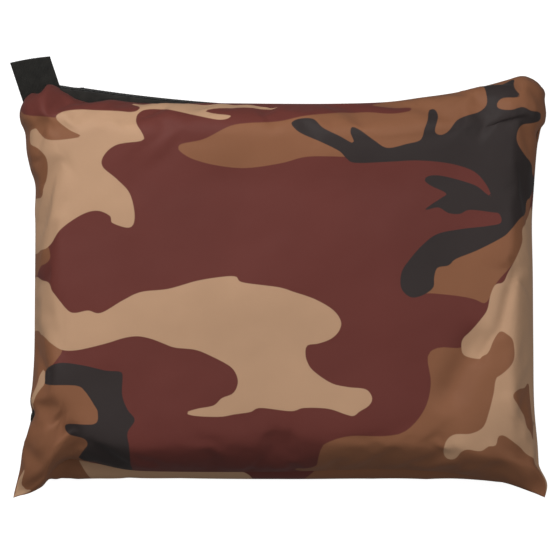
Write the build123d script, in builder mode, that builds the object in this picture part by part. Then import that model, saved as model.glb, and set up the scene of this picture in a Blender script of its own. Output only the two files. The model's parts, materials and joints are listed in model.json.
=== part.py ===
from build123d import *

import os
from math import asin, atan, cos, degrees, pi, radians, sin

# Insulated cooler bag: a flat, padded zip pouch with a webbing tab at its top left corner.
# The bag lies on its back. +Z is up through the front panel and +Y runs from the bottom seam
# towards the zip. The origin is on the floor, under the middle of the bag's outline.
# All sizes are millimetres.

os.makedirs("parts", exist_ok=True)

# Overall size
half_width = 160.0  # from the middle to the side seams, for drawing the outline in
half_height = 115.0  # from the middle to the bottom seam and the zip
bottom_y = -120.0  # the bottom seam, where the front half hinges
zip_y = 108.0  # the front's edge along the zip
seam_z = 24.0  # height of the seam between the two halves
crown_z = 62.0  # top of the puffed front
front_roll = 55.0  # how far in the front's flat crown starts
back_roll = 22.0  # the same for the back, which lies flat on the floor
back_bulge = 4.0  # how far the back swells out beyond the seam
crown_spare = 2.0  # how far each dome runs on before it is cut flat

# Wall layers, from the outside in
fabric = 0.8
ply_gap = 0.2
foam = 5.0
lining = 0.6
foam_layer = fabric + ply_gap
lining_layer = foam_layer + foam + ply_gap

# Rims: each half's rim leans away from the seam plane to make room for the zip
rim_gap = 1.2
zip_rim_gap = 6.8
body_gap = 0.4
binding_inset = 1.0
binding_width = 10.0
binding_side_x = 125.0
binding_top_y = 88.0
binding_corner_y = -104.0
far_out = 200.0  # past every edge of the bag

# Zip: a coil zip whose line is a shallow arc, lowest at arc_x
arc_x = 38.7
arc_y = 1168.0
arc_r = 1062.5
coil_half = 1.1
coil_inner_z = 1.0
coil_outer_z = 3.4
tape_thick = 0.5
tape_turn_z = 5.8
tape_width = 14.0
front_zip_left = -136.0
back_zip_left = -130.0
zip_right = 152.0

# Slider, pull and stops
slider_x = 132.0
slider_length = 10.0
flange_half = 4.8
flange_thick = 1.2
flange_gap = 0.3
post_half = 0.7
bridge_half = 1.6
bridge_length = 8.2
bridge_wall = 1.2
bridge_rise = 5.4
pivot_rise = 3.2
pivot_d = 1.4
pull_reach = 21.0
pull_half = 3.2
pull_arm = 1.0
pull_thick = 1.4
pull_clear = 5.6
stop_length = 3.0
stop_thick = 0.8
bottom_stop_x = -124.0
top_stop_x = 142.0

# Webbing tab: 25 mm webbing folded double, leaning out from the corner
webbing_width = 25.0
webbing_lean = 18.4
webbing_layers = 2.8
webbing_fold_gap = 0.4
loop_z = -6.3
loop_x = -149.6
loop_y = 119.4
loop_length_left = 19.5
loop_length_right = 15.5
anchor_length = 15.0

# Corner ears, measured up from the seam
ear_top = -1.6
ear_bottom = -8.0
ear_round = 1.5

# Zip end tabs, measured up from the seam
end_tab_low = -3.0
end_tab_high = 0.9
end_tab_length = 9.0
end_tab_gap = 1.0

# The side and bottom seams, from the top left corner round to the top right corner
seam_line = [
    (-157, 92), (-152, 72), (-149.5, 30), (-149.5, -30), (-151, -75), (-154, -104), (-150, -117),
    (-138, bottom_y), (-60, bottom_y), (60, bottom_y), (138, bottom_y),
    (152, -117), (158, -104), (157, -75), (156, -30), (156, 30), (158, 75), (162, 93),
]

# The front's zip edge, right to left, with its two puffed corner lobes
front_edge = [
    (165.5, 105), (164.5, 118), (152.5, 125.9), (130, 119.6), (100, 113.8), (60, 109.5),
    (0, 108.4), (-60, 108.4), (-95, 109.8), (-118, 109.3), (-131, 114.6), (-142, 120.6),
    (-152, 116), (-159.5, 108),
]

# The corner ears, where the seams run out to a point
left_ear = [
    (-138, -124), (-151, -131.5), (-165.6, -137.8), (-161.5, -123), (-159.5, -108),
    (-153, -100), (-140, -112),
]
right_ear = [
    (138, -124), (149.2, -129.7), (159.1, -134.7), (166.9, -137.7), (167.5, -129),
    (163, -118), (161, -100), (150, -104),
]


def zip_line_y(x):
    """Height of the zip's arc at x."""
    return arc_y - arc_r * cos(asin((x - arc_x) / arc_r))


def zip_angle(x):
    """Angle of the zip line's tangent at x, in degrees."""
    return degrees(asin((x - arc_x) / arc_r))


# The back's zip edge stays under the zip line
back_edge_x = (150, 100, 38, -30, -90, -130)
back_edge = [(158, 99)] + [(x, zip_line_y(x) - 5) for x in back_edge_x] + [(-146, 112), (-154, 105)]

front_outline = seam_line + front_edge
back_outline = seam_line + back_edge


def drawn_in(outline, inset):
    """The outline drawn in towards the middle of the bag by inset on every side."""
    return [(x * (1 - inset / half_width), y * (1 - inset / half_height)) for x, y in outline]


def dome(outline, far_z, roll, bulge, layer):
    """A closed dome from the seam plane to a flat top at far_z, drawn in by layer."""
    direction = 1 if far_z > seam_z else -1
    depth = abs(far_z - seam_z) - layer
    flat_top = Plane((0, 0, seam_z + direction * depth), z_dir=(0, 0, direction))
    with BuildPart() as solid:
        for rise in (0, 0.35, 0.65, 0.85, 0.96, 1):
            inset = roll * (1 - (1 - rise**2.5) ** 0.4) - bulge * sin(pi * rise)
            with BuildSketch(Plane.XY.offset(seam_z + direction * (depth + crown_spare) * rise)):
                with BuildLine():
                    Spline(*drawn_in(outline, layer + inset), periodic=True)
                make_face()
        loft()
        split(bisect_by=flat_top, keep=Keep.BOTTOM)
    return solid.part


def zip_band(x_from, x_to, low, high):
    """A flat band that follows the zip's arc, from low to high across it."""
    start = zip_angle(x_from) - 90
    sweep = zip_angle(x_to) - 90 - start
    with BuildSketch() as band:
        with BuildLine():
            outer = CenterArc((arc_x, arc_y), arc_r - low, start, sweep)
            inner = CenterArc((arc_x, arc_y), arc_r - high, start, sweep)
            Line(outer @ 0, inner @ 0)
            Line(outer @ 1, inner @ 1)
        make_face()
    return band.sketch


def layer_at(z_low, z_high):
    """The plane and the thickness of a flat piece between two heights from the seam."""
    return Plane.XY.offset(seam_z + z_low), z_high - z_low


rim_lean = atan((zip_rim_gap - rim_gap) / (zip_y - bottom_y))
front_rim = Plane(
    origin=(0, bottom_y, seam_z + rim_gap),
    x_dir=(1, 0, 0),
    z_dir=(0, -sin(rim_lean), cos(rim_lean)),
)
back_rim = Plane(
    origin=(0, bottom_y, seam_z - rim_gap),
    x_dir=(1, 0, 0),
    z_dir=(0, sin(rim_lean), cos(rim_lean)),
)


# The padded halves: outer fabric, foam and lining, each a thin dome inside the last
def front_shell(outside, inside):
    """One ply of the front, between two wall layers."""
    with BuildPart() as ply:
        add(dome(front_outline, crown_z, front_roll, 0, outside))
        add(dome(front_outline, crown_z, front_roll, 0, inside), mode=Mode.SUBTRACT)
        split(bisect_by=front_rim, keep=Keep.TOP)
    return ply.part


def back_shell(outside, inside):
    """One ply of the back, between two wall layers."""
    with BuildPart() as ply:
        add(dome(back_outline, 0, back_roll, back_bulge, outside))
        add(dome(back_outline, 0, back_roll, back_bulge, inside), mode=Mode.SUBTRACT)
        split(bisect_by=back_rim, keep=Keep.BOTTOM)
    return ply.part


plies = {
    "panel": (0, fabric),
    "foam": (foam_layer, foam_layer + foam),
    "lining": (lining_layer, lining_layer + lining),
}

with BuildPart() as front_panel:
    add(front_shell(*plies["panel"]))

with BuildPart() as front_foam:
    add(front_shell(*plies["foam"]))

with BuildPart() as front_lining:
    add(front_shell(*plies["lining"]))

with BuildPart() as back_panel:
    add(back_shell(*plies["panel"]))

with BuildPart() as back_foam:
    add(back_shell(*plies["foam"]))

with BuildPart() as back_lining:
    add(back_shell(*plies["lining"]))


# Seam bindings: the bound allowances that fill the wedge between the two rims
binding_top = front_rim.offset(-body_gap)

with BuildSketch(Plane.XY.offset(seam_z - zip_rim_gap - rim_gap)) as seam_ring:
    with BuildLine():
        Spline(*drawn_in(back_outline, binding_inset), periodic=True)
    make_face()
    with BuildLine():
        Spline(*drawn_in(back_outline, binding_inset + binding_width), periodic=True)
    make_face(mode=Mode.SUBTRACT)


def binding(x_low, x_high, y_low, y_high):
    """The stretch of the binding inside a window on the seam plane."""
    with BuildPart() as stretch:
        add(seam_ring.sketch)
        extrude(amount=2 * (zip_rim_gap + rim_gap))
        with Locations(((x_low + x_high) / 2, (y_low + y_high) / 2, seam_z)):
            Box(x_high - x_low, y_high - y_low, seam_z, mode=Mode.INTERSECT)
        split(bisect_by=back_rim, keep=Keep.TOP)
        split(bisect_by=binding_top, keep=Keep.BOTTOM)
    return stretch.part


with BuildPart() as side_binding_left:
    add(binding(-far_out, -binding_side_x, binding_corner_y, binding_top_y))

with BuildPart() as side_binding_right:
    add(binding(binding_side_x, far_out, binding_corner_y, binding_top_y))

with BuildPart() as bottom_binding:
    add(binding(-far_out, far_out, -far_out, binding_corner_y))


# Corner ears: pointed folds of the back panel, fitted against its wall
def ear(corner_points):
    """A flat pointed fold with rounded edges."""
    plane, thick = layer_at(ear_bottom, ear_top)
    with BuildPart() as fold:
        with BuildSketch(plane):
            Polygon(*corner_points, align=None)
        extrude(amount=thick)
        fillet(fold.edges().filter_by(GeomType.LINE).group_by(Axis.Z)[-1], ear_round)
        add(dome(back_outline, 0, back_roll, back_bulge, 0), mode=Mode.SUBTRACT)
    return fold.part.solids().sort_by(SortBy.VOLUME)[-1]


with BuildPart() as corner_ear_left:
    add(ear(left_ear))

with BuildPart() as corner_ear_right:
    add(ear(right_ear))


# Zip tapes: each turns from the coil out to its own half, then runs along under the rim
def tape(side, x_left):
    """One zip tape, on the front side (1) or the back side (-1) of the seam."""
    lip, lip_thick = layer_at(*sorted((side * coil_inner_z, side * tape_turn_z)))
    flat, flat_thick = layer_at(*sorted((side * (tape_turn_z - tape_thick), side * tape_turn_z)))
    low = -coil_half - tape_thick
    with BuildPart() as strip:
        with BuildSketch(lip):
            add(zip_band(x_left, zip_right, low, -coil_half))
        extrude(amount=lip_thick)
        with BuildSketch(flat):
            add(zip_band(x_left, zip_right, -tape_width, -coil_half))
        extrude(amount=flat_thick)
    return strip.part


def coil(side, x_left):
    """One row of the zip's coil, as a plain bar on the tape's edge."""
    plane, thick = layer_at(*sorted((side * coil_inner_z, side * coil_outer_z)))
    with BuildPart() as row:
        with BuildSketch(plane):
            add(zip_band(x_left, zip_right, -coil_half, coil_half))
        extrude(amount=thick)
    return row.part


with BuildPart() as front_tape:
    add(tape(1, front_zip_left))

with BuildPart() as back_tape:
    add(tape(-1, back_zip_left))

with BuildPart() as front_coil:
    add(coil(1, front_zip_left))

with BuildPart() as back_coil:
    add(coil(-1, back_zip_left))


# Stops: small clips folded over the coil's outer and inner edges
def stop(side, x):
    """A clip on one row of coil."""
    low, high = sorted((side * (coil_inner_z - post_half / 2), side * (coil_outer_z + stop_thick / 2)))
    plane, thick = layer_at(low, high)
    with BuildPart() as clip:
        with BuildSketch(plane):
            add(zip_band(x, x + stop_length, -coil_half, coil_half + stop_thick))
        extrude(amount=thick)
        add(coil(side, back_zip_left), mode=Mode.SUBTRACT)
    return clip.part


with BuildPart() as top_stop_front:
    add(stop(1, top_stop_x))

with BuildPart() as top_stop_back:
    add(stop(-1, top_stop_x))

with BuildPart() as bottom_stop:
    add(stop(-1, bottom_stop_x))


# Zip end tabs: short fabric tabs between the rims, past each end of the zip
def end_tab(x_from):
    """A flat tab that closes the gap past the zip's end."""
    plane, thick = layer_at(end_tab_low, end_tab_high)
    with BuildPart() as tab:
        with BuildSketch(plane):
            add(zip_band(x_from, x_from + end_tab_length, -tape_width, -3 * coil_half))
        extrude(amount=thick)
    return tab.part


with BuildPart() as zip_end_tab_left:
    add(end_tab(front_zip_left - end_tab_gap - end_tab_length))

with BuildPart() as zip_end_tab_right:
    add(end_tab(zip_right + end_tab_gap))


# Slider: two flanges, the post between the coil rows, and the bridge that holds the pull.
# Its plane has X along the zip, Y out of the bag and Z up, with its origin on the zip line.
slider_spot = Plane(
    origin=(slider_x, zip_line_y(slider_x), seam_z),
    x_dir=(cos(radians(zip_angle(slider_x))), sin(radians(zip_angle(slider_x))), 0),
    z_dir=(0, 0, 1),
)
outer_flange = coil_half + flange_gap
inner_flange = -(coil_half + tape_thick + flange_gap)
bridge_foot = outer_flange + flange_thick
pivot_y = bridge_foot + pivot_rise

with BuildPart() as slider_body:
    with BuildSketch(slider_spot.offset(-flange_half)):
        with Locations((0, outer_flange + flange_thick / 2), (0, inner_flange - flange_thick / 2)):
            Rectangle(slider_length, flange_thick)
    extrude(amount=2 * flange_half)
    fillet(slider_body.edges().filter_by(Axis.Z, tolerance=1), 0.4)
    with BuildSketch(slider_spot.offset(-post_half)):
        with Locations((slider_length / 4, (outer_flange + inner_flange) / 2)):
            Rectangle(slider_length / 3, outer_flange - inner_flange)
    extrude(amount=2 * post_half)
    with BuildSketch(slider_spot.offset(-bridge_half)):
        with Locations((0, bridge_foot + bridge_rise / 2)):
            RectangleRounded(bridge_length, bridge_rise, 1.2)
        with Locations((0, bridge_foot + (bridge_rise - bridge_wall) / 2)):
            Rectangle(bridge_length - 2 * bridge_wall, bridge_rise - bridge_wall, mode=Mode.SUBTRACT)
        with Locations((0, bridge_foot + 0.6)):
            with GridLocations(bridge_length - bridge_wall, 1, 2, 1):
                Rectangle(bridge_wall, bridge_wall)
    extrude(amount=2 * bridge_half)

with BuildPart() as pull_tab:
    with BuildSketch(slider_spot.offset(-pull_half)):
        with Locations((0, pivot_y)):
            Circle(pivot_d / 2)
    extrude(amount=2 * pull_half)
    with BuildSketch(slider_spot.offset(-pull_half)):
        with Locations((pull_clear / 2, pivot_y)):
            Rectangle(pull_clear, pull_thick)
    extrude(amount=pull_arm)
    with BuildSketch(slider_spot.offset(pull_half - pull_arm)):
        with Locations((pull_clear / 2, pivot_y)):
            Rectangle(pull_clear, pull_thick)
    extrude(amount=pull_arm)
    with BuildSketch(slider_spot.offset(-pull_half)):
        with Locations(((pull_clear + pull_reach) / 2, pivot_y)):
            RectangleRounded(pull_reach - pull_clear, pull_thick, 0.4)
    extrude(amount=2 * pull_half)


# Webbing tab: folded double. Its plane has Y along the tab and X across it, with its origin
# under the flex line just outside the corner lobe. The tab's near end is rounded about that
# line, so it turns without touching the sewn anchor.
loop_spot = Plane(
    origin=(loop_x, loop_y, seam_z + loop_z),
    x_dir=(cos(radians(webbing_lean)), sin(radians(webbing_lean)), 0),
    z_dir=(0, 0, 1),
)
flex_line = Plane(
    origin=loop_spot.offset(webbing_layers / 2).origin,
    z_dir=loop_spot.x_dir,
)
half_webbing = webbing_width / 2
ply_thick = (webbing_layers - webbing_fold_gap) / 2
anchor_end = webbing_layers / 2 + body_gap

with BuildPart() as grab_loop:
    with BuildSketch(flex_line):
        Circle(webbing_layers / 2)
    extrude(amount=half_webbing, both=True)
    with BuildSketch(loop_spot):
        Polygon(
            (-half_webbing, 0),
            (half_webbing, 0),
            (half_webbing, loop_length_right),
            (-half_webbing, loop_length_left),
            align=None,
        )
    extrude(amount=webbing_layers)
    with BuildSketch(loop_spot.offset(ply_thick)):
        Polygon(
            (-half_webbing, webbing_layers),
            (half_webbing, webbing_layers),
            (half_webbing, loop_length_right - ply_thick),
            (-half_webbing, loop_length_left - ply_thick),
            align=None,
        )
    extrude(amount=webbing_fold_gap, mode=Mode.SUBTRACT)

with BuildPart() as loop_anchor:
    with BuildSketch(loop_spot):
        with Locations((0, -(anchor_end + anchor_length) / 2)):
            Rectangle(webbing_width, anchor_length - anchor_end)
    extrude(amount=webbing_layers)

with BuildPart() as loop_bartack:
    with BuildSketch(loop_spot.offset(webbing_layers)):
        with Locations((0, -anchor_length / 2)):
            with GridLocations(0, 5, 1, 2):
                RectangleRounded(webbing_width - 4, 2, 0.9)
    extrude(amount=0.4)


front_panel.part.label = "front_panel"
export_step(front_panel.part, "parts/front_panel.step")
front_foam.part.label = "front_foam"
export_step(front_foam.part, "parts/front_foam.step")
front_lining.part.label = "front_lining"
export_step(front_lining.part, "parts/front_lining.step")
back_panel.part.label = "back_panel"
export_step(back_panel.part, "parts/back_panel.step")
back_foam.part.label = "back_foam"
export_step(back_foam.part, "parts/back_foam.step")
back_lining.part.label = "back_lining"
export_step(back_lining.part, "parts/back_lining.step")
side_binding_left.part.label = "side_binding_left"
export_step(side_binding_left.part, "parts/side_binding_left.step")
side_binding_right.part.label = "side_binding_right"
export_step(side_binding_right.part, "parts/side_binding_right.step")
bottom_binding.part.label = "bottom_binding"
export_step(bottom_binding.part, "parts/bottom_binding.step")
corner_ear_left.part.label = "corner_ear_left"
export_step(corner_ear_left.part, "parts/corner_ear_left.step")
corner_ear_right.part.label = "corner_ear_right"
export_step(corner_ear_right.part, "parts/corner_ear_right.step")
front_tape.part.label = "front_tape"
export_step(front_tape.part, "parts/front_tape.step")
back_tape.part.label = "back_tape"
export_step(back_tape.part, "parts/back_tape.step")
front_coil.part.label = "front_coil"
export_step(front_coil.part, "parts/front_coil.step")
back_coil.part.label = "back_coil"
export_step(back_coil.part, "parts/back_coil.step")
top_stop_front.part.label = "top_stop_front"
export_step(top_stop_front.part, "parts/top_stop_front.step")
top_stop_back.part.label = "top_stop_back"
export_step(top_stop_back.part, "parts/top_stop_back.step")
bottom_stop.part.label = "bottom_stop"
export_step(bottom_stop.part, "parts/bottom_stop.step")
zip_end_tab_left.part.label = "zip_end_tab_left"
export_step(zip_end_tab_left.part, "parts/zip_end_tab_left.step")
zip_end_tab_right.part.label = "zip_end_tab_right"
export_step(zip_end_tab_right.part, "parts/zip_end_tab_right.step")
slider_body.part.label = "slider_body"
export_step(slider_body.part, "parts/slider_body.step")
pull_tab.part.label = "pull_tab"
export_step(pull_tab.part, "parts/pull_tab.step")
grab_loop.part.label = "grab_loop"
export_step(grab_loop.part, "parts/grab_loop.step")
loop_anchor.part.label = "loop_anchor"
export_step(loop_anchor.part, "parts/loop_anchor.step")
loop_bartack.part.label = "loop_bartack"
export_step(loop_bartack.part, "parts/loop_bartack.step")
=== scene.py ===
"""Insulated cooler bag: a soft camouflage zip pouch, lying on its back on a white table."""

import json
import math

import bpy
import numpy as np
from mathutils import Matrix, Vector
from mathutils.bvhtree import BVHTree


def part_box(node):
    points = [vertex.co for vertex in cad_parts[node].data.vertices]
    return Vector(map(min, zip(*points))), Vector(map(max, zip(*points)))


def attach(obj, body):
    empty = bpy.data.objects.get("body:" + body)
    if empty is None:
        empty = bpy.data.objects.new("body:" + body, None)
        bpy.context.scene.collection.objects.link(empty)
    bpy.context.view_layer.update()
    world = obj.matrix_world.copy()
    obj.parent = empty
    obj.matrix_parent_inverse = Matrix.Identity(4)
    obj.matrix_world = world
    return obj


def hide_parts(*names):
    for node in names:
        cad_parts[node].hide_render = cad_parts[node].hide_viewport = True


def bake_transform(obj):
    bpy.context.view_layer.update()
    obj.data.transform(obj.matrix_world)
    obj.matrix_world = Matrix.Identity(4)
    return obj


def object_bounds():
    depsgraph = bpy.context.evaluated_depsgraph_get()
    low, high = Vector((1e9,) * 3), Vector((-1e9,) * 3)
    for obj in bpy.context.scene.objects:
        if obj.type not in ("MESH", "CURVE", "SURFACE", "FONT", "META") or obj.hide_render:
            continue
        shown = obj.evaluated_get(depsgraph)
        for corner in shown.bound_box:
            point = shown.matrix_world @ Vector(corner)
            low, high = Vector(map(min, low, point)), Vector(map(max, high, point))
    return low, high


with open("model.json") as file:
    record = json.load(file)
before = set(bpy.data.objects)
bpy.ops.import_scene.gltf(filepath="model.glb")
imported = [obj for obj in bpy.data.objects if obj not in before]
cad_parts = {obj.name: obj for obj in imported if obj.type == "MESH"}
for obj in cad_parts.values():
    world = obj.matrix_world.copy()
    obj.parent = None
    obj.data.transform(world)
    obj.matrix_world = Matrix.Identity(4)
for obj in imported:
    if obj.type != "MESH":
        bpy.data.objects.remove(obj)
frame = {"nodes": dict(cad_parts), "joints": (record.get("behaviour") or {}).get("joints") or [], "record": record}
cad_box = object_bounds()
MM = 0.001

# ---------------------------------------------------------------- places, from the frame, in mm

floor_z = cad_box[0].z / MM
coil_low, coil_high = (np.array(p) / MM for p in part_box("front_coil"))
SEAM = (coil_low[2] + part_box("back_coil")[1].z / MM) / 2    # height of the seam between the two halves
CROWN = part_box("front_panel")[1].z / MM                     # top of the puffed front
ZIP_RIGHT = coil_high[0]
JOINTS = {j["name"]: j for j in frame["joints"]}
arc_x, arc_y, _ = (c / MM for c in JOINTS["zip_slide"]["pos_m"])
arc_r = arc_y - (coil_low[1] + 1.1)                         # the zip line runs along the middle of the coil


def smooth(t):
    """0 to 1 with flat ends."""
    t = np.clip(t, 0, 1)
    return t * t * (3 - 2 * t)


def zip_y(x):
    """The zip line at x: the slider's arc, with the empty tape at its left end sagging a little."""
    x = np.asarray(x, float)
    return arc_y - np.sqrt(arc_r**2 - (x - arc_x) ** 2) - 0.7 * smooth((-119 - x) / 10)


# Where the front starts and stops lifting when the mouth opens
OPEN_LEFT, OPEN_MIDDLE, OPEN_RIGHT = -106.0, 14.0, 140.0

FABRIC = 0.7           # thickness of the nylon
FOAM_TAPER = 16.0      # how far in from the seams the foam reaches its full thickness
CORNER_CELLS = 26      # how many cells of the foam and lining go into their rounded lower corners
# How deep each face lies under the fabric, at the seams and farther in: the foam's two faces, then the lining's
LAYER_DEPTHS = ((1.0, 1.0), (1.4, 5.6), (1.6, 5.9), (1.9, 6.4))
EAR_LENGTH = 58.0      # how far from its tip a corner ear starts to fill out
EAR_FLATNESS = 0.12    # how full the tip is
PRINT_STRETCH = 18.0   # how far the print runs on down the steep sides
TOOTH = 1.75           # pitch of the zip's coil
WIRE = 0.7             # thickness of the coil's wire
ZIP_LEFT = -136.3      # where the zip starts, at the webbing's edge
ZIP_SPREAD = 6.3       # how far each half's edge stands off the seam along the zip
WEBBING_TUCK = 3.3     # how far the front's edge drops to meet the webbing

# ---------------------------------------------------------------- curves


def curve(points, count=200, closed=False):
    """A smooth curve through given points, as count points evenly spaced along it."""
    p = np.array(points, float)
    if closed:
        p = np.vstack([p[-1:], p, p[:2]])
    else:
        p = np.vstack([2 * p[0] - p[1], p, 2 * p[-1] - p[-2]])
    fine = []
    t = np.linspace(0, 1, 16, endpoint=False)[:, None]
    for a, b, c, d in zip(p[:-3], p[1:-2], p[2:-1], p[3:]):
        fine.append(0.5 * (2 * b + (c - a) * t + (2 * a - 5 * b + 4 * c - d) * t**2 + (3 * b - a - 3 * c + d) * t**3))
    fine = np.vstack(fine + [p[-2][None]])
    along = np.concatenate([[0], np.cumsum(np.linalg.norm(np.diff(fine, axis=0), axis=1))])
    want = np.linspace(0, along[-1], count)
    return np.stack([np.interp(want, along, fine[:, k]) for k in range(fine.shape[1])], axis=1)


def at(line, s):
    """The curve's points at shares s of its length, run on straight past its ends."""
    s = np.asarray(s, float)
    last = len(line) - 1
    i = np.clip((s * last).astype(int), 0, last - 1)
    f = (s * last - i)[..., None]
    return line[i] * (1 - f) + line[i + 1] * f


# The front's edge as seen from above, in mm
FRONT = {
    "bottom": curve([
        (-165.6, -137.8), (-155, -134), (-147.5, -129), (-142.5, -122.5), (-136, -116.5), (-130, -113.5),
        (-122, -114.8), (-112, -116.6), (-92, -120.5), (-60, -121.5), (0, -121.5), (60, -120), (94, -121),
        (118, -123.6), (141, -128.2), (158.5, -134.2), (166.9, -137.6),
    ]),
    "right": curve([
        (166.9, -137.6), (167.4, -129), (164.2, -121.8), (162, -118), (161, -103), (159, -78), (158.6, -40),
        (158.4, 0), (157.9, 34), (159.2, 56), (161, 79), (162.5, 87.5), (163.6, 92.5), (166, 95.8),
        (166.9, 103), (166, 109), (166.6, 115.5), (163.6, 120.6),
    ]),
    "top": curve([
        (-155.4, 114.6), (-151.6, 116.2), (-148.4, 117.2), (-145.6, 120.2), (-142.6, 121), (-139, 119.6),
        (-133, 115.8), (-127, 112.2), (-119, 109.3), (-111, 109.9), (-103, 110.9), (-93, 109.6), (-78, 108.8),
        (-35, 108.9), (0, 108.6), (34, 108.6), (67, 109.6), (89, 112.4), (110, 115.4), (129, 119.6),
        (145, 124), (152.5, 126), (159, 124), (163.6, 120.6),
    ]),
    "left": curve([
        (-165.6, -137.8), (-160.8, -121), (-158.8, -107), (-155.6, -96), (-153, -85), (-154.2, -77),
        (-152.8, -66), (-151.6, -45), (-151.3, -10), (-151, 30), (-151.3, 42), (-151, 58), (-154, 68),
        (-156.4, 79), (-157.4, 91), (-160.3, 98), (-160.9, 104.5), (-159, 110.2), (-155.4, 114.6),
    ]),
}  # fmt: skip

# ---------------------------------------------------------------- camouflage, in mm on the bag

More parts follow.
